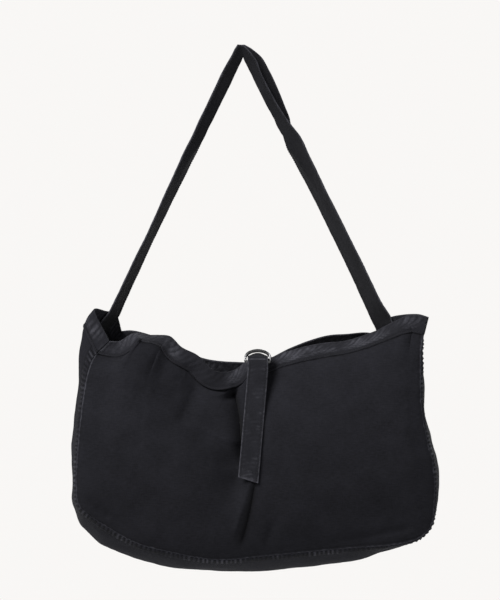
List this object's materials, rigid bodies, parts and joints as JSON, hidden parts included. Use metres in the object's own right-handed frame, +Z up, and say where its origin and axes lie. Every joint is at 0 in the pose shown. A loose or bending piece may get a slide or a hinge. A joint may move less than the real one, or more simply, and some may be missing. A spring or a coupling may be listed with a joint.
{
  "type": "newspaper delivery bag",
  "caption": "Soft canvas shoulder bag with a deep gusset, hemmed open mouth, sewn-in shoulder strap and a closing strap through two D-rings, hanging from its strap.",
  "frame": {"origin": "where the folded shoulder strap bears on a hook or a shoulder", "axes": "+Z up; the front panel faces -Y; the bag's width runs along X"},
  "size_m": [0.4957, 0.1927, 0.7118],
  "materials": {
    "canvas": "garment-washed cotton canvas, matt",
    "hem_canvas": "doubled canvas, puckered and rubbed paler at the edge, matt",
    "strap_canvas": "folded and topstitched canvas, rubbed paler at the edges, matt",
    "ring_steel": "nickel-plated wire, polished"
  },
  "bodies": {
    "root": {"front_panel": "canvas", "back_panel": "canvas", "gusset": "canvas", "front_hem": "hem_canvas", "back_hem": "hem_canvas", "gusset_hem_left": "hem_canvas", "gusset_hem_right": "hem_canvas", "shoulder_strap": "strap_canvas", "ring_keeper": "strap_canvas", "closing_strap": "strap_canvas", "ring_lower": "ring_steel", "ring_upper": "ring_steel"}
  },
  "joints": []
}
